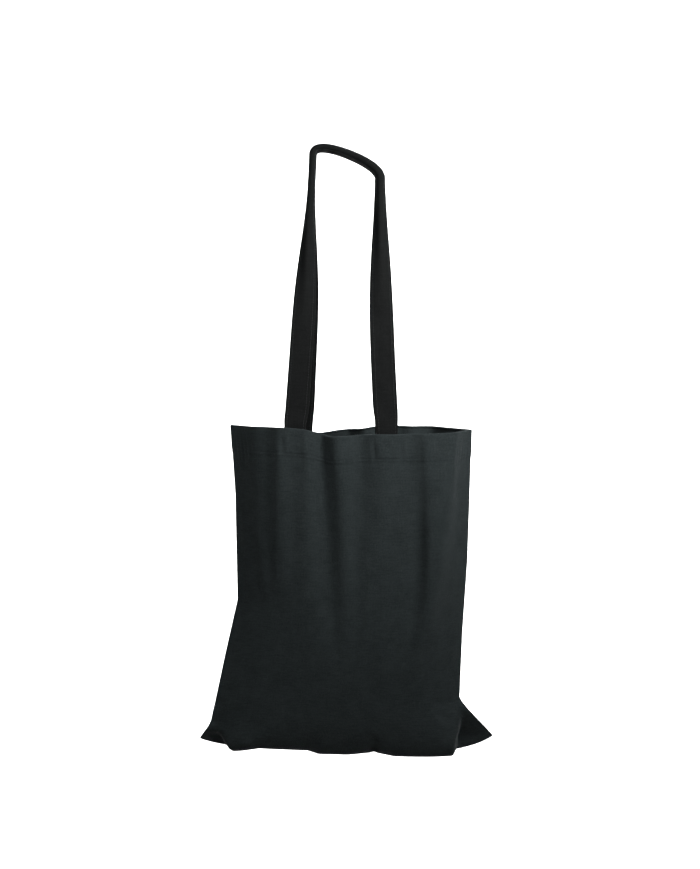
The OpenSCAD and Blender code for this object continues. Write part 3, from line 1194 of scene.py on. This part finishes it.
@dataclass
class SeamAllowance:
    """The two raw edges inside a seam, and the thread wrapped over them.

    Attributes:
        body: the drape whose seam it is.
        edge: which seam.
        width: how far its raw edge stands from the seam.
        start: how far from the seam it starts.
        thickness: the thickness of its two layers.
        wrap_w: how far the thread reaches over the raw edge.
        wrap_pitch: the distance between two turns of the thread.
        wrap_r: the thread's radius.
        wrap_past: how far the thread passes the raw edge.
        tip_gap: how far from an ear's tip it ends.
        inset: how far from the seam the panels' slopes are read.
        steps: faces along it.
        smoothing: how many steps its slope is smoothed over, an odd number.
        wave_h: the height of its waves.
        wave_w: the length of its waves, over a full turn.
    """

    body: BodyDrape
    edge: Edge
    width: float = 10 * MM
    start: float = 0.7 * MM
    thickness: float = 1.3 * MM
    wrap_w: float = 4 * MM
    wrap_pitch: float = 2.6 * MM
    wrap_r: float = 0.22 * MM
    wrap_past: float = 0.3 * MM
    tip_gap: float = 16 * MM
    inset: float = 4 * MM
    steps: int = 200
    smoothing: int = 25
    wave_h: float = 0.25 * MM
    wave_w: float = 6.3 * MM

    def __post_init__(self) -> None:
        """Works out the line of the seam, and the ways into the bag and across the allowance."""
        half, flat_h = self.body.flat_w / 2, self.body.flat_h
        if self.edge is Edge.BOTTOM:
            self.run = np.linspace(-half + self.tip_gap, half - self.tip_gap, self.steps + 1)
            u, v = self.run, np.full(self.run.shape, flat_h)
        else:
            self.run = np.linspace(3 * MM, flat_h - self.tip_gap, self.steps + 1)
            u, v = np.full(self.run.shape, self.edge.value * half), self.run
        self.line = self.body.place(Side.FRONT, u, v)
        near_u = u if self.edge is Edge.BOTTOM else u - self.edge.value * self.inset
        near_v = v - self.inset if self.edge is Edge.BOTTOM else v
        ways = [self.body.ways(side, near_u, near_v) for side in Side]
        into = sum(w[2] - (w[1] if self.edge is Edge.BOTTOM else w[0] * self.edge.value) for w in ways)
        kernel = np.hanning(self.smoothing) / np.hanning(self.smoothing).sum()
        padded = np.pad(into, ((self.smoothing // 2, self.smoothing // 2), (0, 0)), mode="edge")
        self.into = unit(np.stack([np.convolve(padded[:, k], kernel, mode="valid") for k in range(3)], -1))
        along = unit(np.gradient(self.line, axis=0))
        self.into = unit(self.into - along * np.sum(self.into * along, axis=1, keepdims=True))
        self.face = unit(np.cross(self.into, along))

    def cloth(self) -> bpy.types.Object:
        """Makes the allowance.

        Returns:
            The piece.
        """
        d = np.linspace(self.start, self.width, 6)
        wave = self.wave_h * np.sin(self.run / self.wave_w)
        grid = (self.line[:, None] + self.into[:, None] * d[None, :, None]
                + self.face[:, None] * (self.thickness / 2 + np.outer(wave, d / self.width))[..., None])
        bm = strip_mesh(len(d) - 1, self.steps, lambda i, j: grid[j, i],
                        lambda i, j: np.stack([d[i], self.run[j]], -1))
        thicken(bm, self.thickness, self.face[self.steps // 2])
        name = self.edge.name.lower()
        return on_bag(finished(bm, f"{name}_seam_cloth", CLOTH), f"{name}_seam_allowance")

    def overlock(self) -> bpy.types.Object:
        """Makes the thread that zigzags over the raw edge on both faces.

        Returns:
            The piece.
        """
        turns = int((self.run[-1] - self.run[0]) / self.wrap_pitch)
        high = self.thickness / 2 + self.wrap_r
        inner, outer = self.width - self.wrap_w, self.width + self.wrap_past
        one_turn = np.array([(0.0, inner, high), (0.5, outer, high), (0.5, outer, -high),
                             (1.0, inner, -high), (1.0, outer, 0.0)])
        share = ((np.arange(turns)[:, None] + one_turn[:, 0]) / (turns + 1)).ravel()
        d, h = np.tile(one_turn[:, 1], turns), np.tile(one_turn[:, 2], turns)
        station = np.arange(self.steps + 1)
        line, into, face = (
            np.stack([np.interp(share * self.steps, station, way[:, k]) for k in range(3)], -1)
            for way in (self.line, self.into, self.face)
        )
        name = f"{self.edge.name.lower()}_seam_overlock"
        mesh = tube(line + into * d[:, None] + face * h[:, None], self.wrap_r)
        bm = bmesh.new()
        bm.from_mesh(mesh)
        bpy.data.meshes.remove(mesh)
        return on_bag(finished(bm, f"{name}_thread", THREAD), name)


def tube(points: np.ndarray, radius: float) -> bpy.types.Mesh:
    """A round tube along a line of points, with closed ends.

    Args:
        points: the line.
        radius: the tube's radius.

    Returns:
        The new mesh.
    """
    curve = bpy.data.curves.new("tube", "CURVE")
    curve.dimensions = "3D"
    curve.bevel_depth, curve.bevel_resolution, curve.use_fill_caps = radius, 0, True
    spline = curve.splines.new("POLY")
    spline.points.add(len(points) - 1)
    for place, p in zip(spline.points, points):
        place.co = (*p, 1.0)
    line = bpy.data.objects.new("tube", curve)
    bpy.context.scene.collection.objects.link(line)
    made = bpy.data.meshes.new_from_object(line.evaluated_get(bpy.context.evaluated_depsgraph_get()))
    bpy.data.objects.remove(line)
    bpy.data.curves.remove(curve)
    return made


# ---------------------------------------------------------------- the handles


@dataclass
class Handle:
    """One strip of webbing: sewn inside the hem, up to the grip, over it, and down inside the hem again.

    Attributes:
        body: the drape that it is sewn to.
        side: front or back.
        across: faces across the webbing.
        end_steps: faces down each sewn end.
        leg_steps: faces up each leg.
        crown_steps: faces over the grip.
        fine_steps: steps across in which its fold is worked out, an even number.
        grip_y: how far the webbing's middle is from the bag's middle at the grip.
        grip_half: half the width of the grip.
        grip_tilt: how much higher the grip's left end is.
        shoulder_drop: how far the legs end below the line of the grip.
        shoulder_in: how far the crown's line leans in from the legs.
        crown_rise: how far the crown's line reaches above the legs.
        bow_left: how far the left leg bows to the right.
        back_bow_left: the same for the back handle.
        bow_right: how far the right leg bows to the right.
        bow_high: how much less a leg bows towards its top.
        fold_left: how far the webbing's edges fold at the grip's left end, in degrees.
        fold_right: how far they fold at its right end.
        fold_from: the share of the leg's height where the fold starts.
        spine: the radius of the fold.
        ripple: the depth of the small folds beside it.
        ripple_turns: how fast the small folds come and go along the webbing.
        ripple_w: the width of the small folds.
        settle: the height above the mouth at which the webbing hangs free.
        box_in: how far inside the webbing's edges the sewn box is.
        stitch_proud: how far the stitches' middles stand out of what they hold.
        box_deep: how far those of the sewn box stand out of the webbing.
        bend_from: how far above the mouth the webbing starts to bend as the handle swings; not used.
        bend_to: how far above the mouth it has bent; not used.
    """

    body: BodyDrape
    side: Side
    across: int = 20
    end_steps: int = 10
    leg_steps: int = 90
    crown_steps: int = 36
    fine_steps: int = 280
    grip_y: float = 14.6 * MM
    grip_half: float = 40 * MM
    grip_tilt: float = 28 * MM
    shoulder_drop: float = 14 * MM
    shoulder_in: float = 5 * MM
    crown_rise: float = 34 * MM
    bow_left: float = 1.5 * MM
    back_bow_left: float = 0.5 * MM
    bow_right: float = -3 * MM
    bow_high: float = 0.3
    fold_left: float = 84.0
    fold_right: float = 72.0
    fold_from: float = 0.28
    spine: float = 2.4 * MM
    ripple: float = 0.20
    ripple_turns: float = 31.0
    ripple_w: float = 1.9 * MM
    settle: float = 28 * MM
    box_in: float = 3.5 * MM
    stitch_proud: float = 0.1 * MM
    box_deep: float = 0.16 * MM
    bend_from: float = -1 * MM
    bend_to: float = 24 * MM

    def __post_init__(self) -> None:
        """Takes the handle's roots from the CAD boxes and works out its line."""
        low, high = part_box(f"{self.side.label}_handle")
        self.root_y = max(abs(low.y), abs(high.y)) - HANDLE_T / 2
        ends = [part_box(f"{self.side.label}_{hand.label}_handle_end") for hand in Hand]
        self.root_x = [(a.x + b.x) / 2 for a, b in ends]
        if self.side is Side.BACK:
            self.root_x[0] += self.body.back_root_shift
            self.bow_left = self.back_bow_left
        self.line, self.height = self._line()

    def _line(self) -> tuple[np.ndarray, np.ndarray]:
        """The handle's line seen from the front, from one side of the mouth to the other.

        Returns:
            Points (x, z), and each one's height above the mouth or, below zero, its depth down the hem.
        """
        mouth_z, half = self.body.mouth_z, self.grip_half
        tops = np.array([[-half - 1 * MM, self.grip_tilt / 2 - self.shoulder_drop],
                         [half, -self.grip_tilt / 2 - self.shoulder_drop]])
        legs = []
        for n, bow in enumerate((self.bow_left, self.bow_right)):
            k = np.linspace(0, 1, self.leg_steps + 1)[:-1, None]
            leg = mix(np.array([self.root_x[n], mouth_z]), tops[n], k)
            legs.append(leg + np.array([bow, 0]) * np.sin(math.pi * k) * (1 - self.bow_high * k))
        k = np.linspace(0, 1, self.crown_steps + 1)[:, None]
        lifts = tops + np.array([[self.shoulder_in, self.crown_rise], [-self.shoulder_in, self.crown_rise]])
        m = 1 - k
        crown = tops[0] * m ** 3 + lifts[0] * 3 * m * m * k + lifts[1] * 3 * m * k * k + tops[1] * k ** 3
        crown[:, 1] -= np.interp(0.5, k[:, 0], crown[:, 1]) * np.sin(math.pi * k[:, 0])
        down = np.linspace(END_H, 0, self.end_steps + 1)[:-1]
        ends = [np.stack([np.full(down.shape, x), mouth_z - down], -1) for x in self.root_x]
        line = np.concatenate([ends[0], legs[0], crown, legs[1][::-1], ends[1][::-1]])
        return line, line[:, 1] - mouth_z

    def surface(self, u: np.ndarray, proud: float) -> np.ndarray:
        """Points of the webbing, by station and by place across it.

        Args:
            u: places across the webbing.
            proud: how far out of the webbing's middle layer, towards the outside of the bag.

        Returns:
            The points.
        """
        fine = np.linspace(-HANDLE_W / 2, HANDLE_W / 2, self.fine_steps + 1)
        middle, numbers = self.fine_steps // 2, np.arange(self.fine_steps + 1)
        along = unit(np.gradient(self.line, axis=0))
        shoulder = self.end_steps + self.leg_steps
        share = np.clip(self.height / np.min(self.height[[shoulder, -shoulder - 1]]), 0, 1)
        place = np.linspace(0, 1, len(self.line))
        most = np.radians(mix(self.fold_left, self.fold_right, smooth((place - 0.35) / 0.3)))
        fold = most * smooth((share - self.fold_from) / (1 - self.fold_from))
        ripple = self.ripple * share * np.sin(place * self.ripple_turns)
        turn = fold[:, None] * np.tanh(fine / self.spine) + ripple[:, None] * np.sin(fine / self.ripple_w)
        step = fine[1] - fine[0]
        a, b = (np.cumsum(f(turn), axis=1) * step for f in (np.cos, np.sin))
        a, b = (x - x[:, middle:middle + 1] for x in (a, b))
        pick = np.clip((u - fine[0]) / step, 0, self.fine_steps)
        a, b, turn = (np.stack([np.interp(pick, numbers, row) for row in x]) for x in (a, b, turn))
        wide = np.stack([along[:, 1], 0 * along[:, 0], -along[:, 0]], -1)[:, None]
        deep = np.array([0.0, -self.side.value, 0.0])
        y = self.side.value * mix(self.root_y, self.grip_y, share)
        centre = np.stack([self.line[:, 0], y, self.line[:, 1]], -1)[:, None]
        a, b, turn = (x[..., None] for x in (a, b, turn))
        loop = centre + wide * a + deep * b + (wide * np.sin(turn) - deep * np.cos(turn)) * proud
        return self._sewn_in(loop, u, proud)

    def _sewn_in(self, loop: np.ndarray, u: np.ndarray, proud: float) -> np.ndarray:
        """Brings the webbing's two ends onto the cloth that they are sewn to.

        Args:
            loop: points of the free webbing.
            u: places across it.
            proud: how far out of its middle layer they are.

        Returns:
            The points, eased from the hem to the free webbing.
        """
        half = len(loop) // 2
        result = loop.copy()
        for hand, part, way in ((Hand.LEFT, slice(0, half), 1), (Hand.RIGHT, slice(half, None), -1)):
            height = self.height[part]
            places = np.broadcast_to(self.body.root(self.side, hand) + way * u, (len(height), len(u)))
            depths = np.broadcast_to(np.maximum(0, -height)[:, None], places.shape)
            layer = HEM_T + 0.06 * MM + HANDLE_T / 2 - proud
            sewn = self.body.at(self.side, places, depths, layer)
            sewn = sewn + UP * np.maximum(0, height)[:, None, None]
            free = smooth(height / self.settle)[:, None, None]
            result[part] = mix(sewn, loop[part], free)
        return result

    @property
    def length(self) -> float:
        """The webbing's length from one sewn end to the other."""
        return float(np.sum(np.linalg.norm(np.diff(self.line, axis=0), axis=1)))

    def _bend(self, piece: bpy.types.Object) -> None:
        """Bakes a piece's placing into its own mesh."""
        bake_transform(piece)

    def webbing(self) -> bpy.types.Object:
        """Makes the strip.

        Returns:
            The piece.
        """
        u = np.linspace(-HANDLE_W / 2, HANDLE_W / 2, self.across + 1)
        grid = self.surface(u, HANDLE_T / 2)
        run = np.concatenate([[0], np.cumsum(np.linalg.norm(np.diff(self.line, axis=0), axis=1))])
        bm = strip_mesh(self.across, len(self.line) - 1, lambda i, j: grid[j, i],
                        lambda i, j: np.stack([u[i], run[j]], -1))
        thicken(bm, HANDLE_T, (0, self.side.value, 0))
        round_rim(bm, 0.6 * MM)
        name = self.side.label
        piece = finished(bm, f"{name}_strap", WEBBING)
        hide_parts(f"{name}_handle", f"{name}_left_handle_end", f"{name}_right_handle_end")
        self._bend(piece)
        return piece

    def topstitching(self) -> bpy.types.Object:
        """Makes the rows of stitches near both edges, on both faces.

        Returns:
            The piece.
        """
        bm = bmesh.new()
        free = slice(self.end_steps, len(self.line) - self.end_steps)
        for u in (TOPSTITCH_IN - HANDLE_W / 2, HANDLE_W / 2 - TOPSTITCH_IN):
            for face in (1, -1):
                beside = u + 0.3 * MM * np.array([-1, 0, 1])
                line = self.surface(beside, face * (HANDLE_T / 2 + self.stitch_proud))[free]
                out = np.cross(line[:, 2] - line[:, 0], np.gradient(line[:, 1], axis=0))
                row_of_stitches(bm, line[:, 1], unit(out) * face)
        piece = finished(bm, f"{self.side.label}_strap_stitches", THREAD)
        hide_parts(f"{self.side.label}_handle_topstitching")
        self._bend(piece)
        return piece

    def box_stitch(self, hand: Hand) -> bpy.types.Object:
        """Makes the sewn box and cross through one end of the handle.

        Args:
            hand: which end.

        Returns:
            The piece.
        """
        root = self.body.root(self.side, hand)
        x0, x1 = root - HANDLE_W / 2 + self.box_in, root + HANDLE_W / 2 - self.box_in
        v0, v1 = self.box_in + 0.2 * MM, END_H - self.box_in / 2
        runs = (((x0, v0), (x1, v0)), ((x0, v1), (x1, v1)), ((x0, v0), (x0, v1)), ((x1, v0), (x1, v1)),
                ((x0, v0), (x1, v1)), ((x1, v0), (x0, v1)))
        bm = bmesh.new()
        share = np.linspace(0, 1, 40)
        for (ua, va), (ub, vb) in runs:
            u, v = mix(ua, ub, share), mix(va, vb, share)
            inward = self.body.ways(self.side, u, v)[2]
            outer, inner = -CLOTH_T - self.stitch_proud, HEM_T + HANDLE_T + self.box_deep
            row_of_stitches(bm, self.body.at(self.side, u, v, outer), -inward)
            row_of_stitches(bm, self.body.at(self.side, u, v, inner), inward)
        name = f"{self.side.label}_{hand.label}_box_stitch"
        return on_bag(finished(bm, f"{name}_thread", THREAD), name)


# ---------------------------------------------------------------- the studio


@dataclass(frozen=True)
class Lamp:
    """A square area light.

    Attributes:
        name: its name.
        at: where it stands.
        aim: the point it is turned to.
        size: the length of its side.
        power: its power in watts.
        spread: how wide it throws its light, in degrees.
    """

    name: str
    at: Point
    aim: Point
    size: float
    power: float
    spread: float

    def build(self) -> None:
        """Adds the light to the scene."""
        data = bpy.data.lights.new(self.name, "AREA")
        data.shape, data.size, data.energy = "SQUARE", self.size, self.power
        data.spread = math.radians(self.spread)
        light = bpy.data.objects.new(self.name, data)
        light.location = self.at
        light.rotation_euler = (Vector(self.aim) - Vector(self.at)).to_track_quat("-Z", "Y").to_euler()
        bpy.context.scene.collection.objects.link(light)


LAMPS = (
    Lamp("key", at=(0.46, -0.55, 0.12), aim=(0.07, 0, -0.17), size=0.36, power=8.5, spread=115.0),
    Lamp("fill", at=(-0.60, -0.58, 0.16), aim=(-0.12, 0, -0.30), size=0.4, power=1.35, spread=90.0),
    Lamp("wall_left", at=(-1.5, 1.3, 0.9), aim=(-0.3, 2.9, -0.6), size=1.4, power=60.0, spread=90.0),
    Lamp("wall_right", at=(1.5, 1.3, 0.9), aim=(0.3, 2.9, -0.6), size=1.4, power=60.0, spread=90.0),
)


@dataclass
class Studio:
    """A plain pale sweep of floor and wall, soft lights, and the camera.

    Attributes:
        camera_at: where the camera stands.
        aim_z: the height it looks at, at the bag's middle.
        lens: its focal length, in millimetres.
        floor_drop: how far below the bag the floor is.
        floor_front: Y of the floor's near edge.
        floor_back: Y where the floor starts to bend up.
        bend_radius: the radius of the bend.
        wall_top: how far the wall stands above the bend.
        half_width: half the width of the sweep.
        paleness: how light the sweep is.
        glow: how much it glows.
        sky: how much light comes from all round.
    """

    camera_at: Point = (0.0037, -1.5, -0.235)
    aim_z: float = -0.3405
    lens: float = 50.66
    floor_drop: float = 0.75
    floor_front: float = -3.0
    floor_back: float = 2.0
    bend_radius: float = 0.8
    wall_top: float = 2.6
    half_width: float = 4.0
    paleness: float = 0.78
    glow: float = 0.1
    sky: float = 0.09

    def build(self) -> None:
        """Sets up the camera, the sweep and the lights."""
        self._camera()
        self._sweep()
        for lamp in LAMPS:
            lamp.build()
        world = bpy.data.worlds.new("sky")
        world.use_nodes = True
        world.node_tree.nodes["Background"].inputs["Color"].default_value = (1, 1, 1, 1)
        world.node_tree.nodes["Background"].inputs["Strength"].default_value = self.sky
        bpy.context.scene.world = world
        bpy.context.scene.view_settings.view_transform = "Standard"

    def _camera(self) -> None:
        """Places the camera a little above the bag's mouth, looking slightly down."""
        data = bpy.data.cameras.new("camera")
        data.lens = self.lens
        data.sensor_width = 36
        camera = bpy.data.objects.new("camera", data)
        camera.location = self.camera_at
        drop = math.atan2(self.camera_at[2] - self.aim_z, -self.camera_at[1])
        camera.rotation_euler = (math.pi / 2 - drop, 0, 0)
        bpy.context.scene.collection.objects.link(camera)
        bpy.context.scene.camera = camera

    def _sweep(self) -> None:
        """Makes the floor and wall as one smooth sweep."""
        floor_z = cad_box[0].z - self.floor_drop
        flat, bend = self.floor_back - self.floor_front, self.bend_radius * math.pi / 2
        bm = bmesh.new()
        bmesh.ops.create_grid(bm, x_segments=2, y_segments=60, size=0.5)
        for v in bm.verts:
            run = (v.co.y + 0.5) * (flat + bend + self.wall_top)
            turn = min(max(run - flat, 0), bend) / self.bend_radius
            y = self.floor_front + min(run, flat) + self.bend_radius * math.sin(turn)
            z = floor_z + self.bend_radius * (1 - math.cos(turn)) + max(0.0, run - flat - bend)
            v.co = (v.co.x * 2 * self.half_width, y, z)
        mesh = bpy.data.meshes.new("sweep")
        for face in bm.faces:
            face.smooth = True
        bm.to_mesh(mesh)
        bm.free()
        n = Nodes("pale_sweep")
        n.shader.inputs["Base Color"].default_value = (self.paleness, self.paleness, self.paleness, 1)
        n.shader.inputs["Roughness"].default_value = 0.9
        n.shader.inputs["Emission Color"].default_value = (1, 1, 1, 1)
        n.shader.inputs["Emission Strength"].default_value = self.glow
        mesh.materials.append(n.material)
        sweep = bpy.data.objects.new("sweep", mesh)
        bpy.context.scene.collection.objects.link(sweep)


# ---------------------------------------------------------------- the whole


def main() -> None:
    """Builds the bag, piece by piece, and the studio round it."""
    logging.basicConfig(level=logging.INFO, format="%(message)s")
    Studio().build()
    body = BodyDrape()
    body.simulate()
    for side in Side:
        panel = Panel(body, side).build()
        hem = Hem(body, side)
        handle = Handle(body, side)
        sewn = [hem.cloth(), hem.stitching()] + [handle.box_stitch(hand) for hand in Hand]
        strap = handle.webbing()
        handle.topstitching()
        log.info("%s: webbing %.3f m long", side.label, handle.length)
    for edge in Edge:
        seam = SeamAllowance(body, edge)
        seam.cloth()
        seam.overlock()


if __name__ == "__main__":
    main()
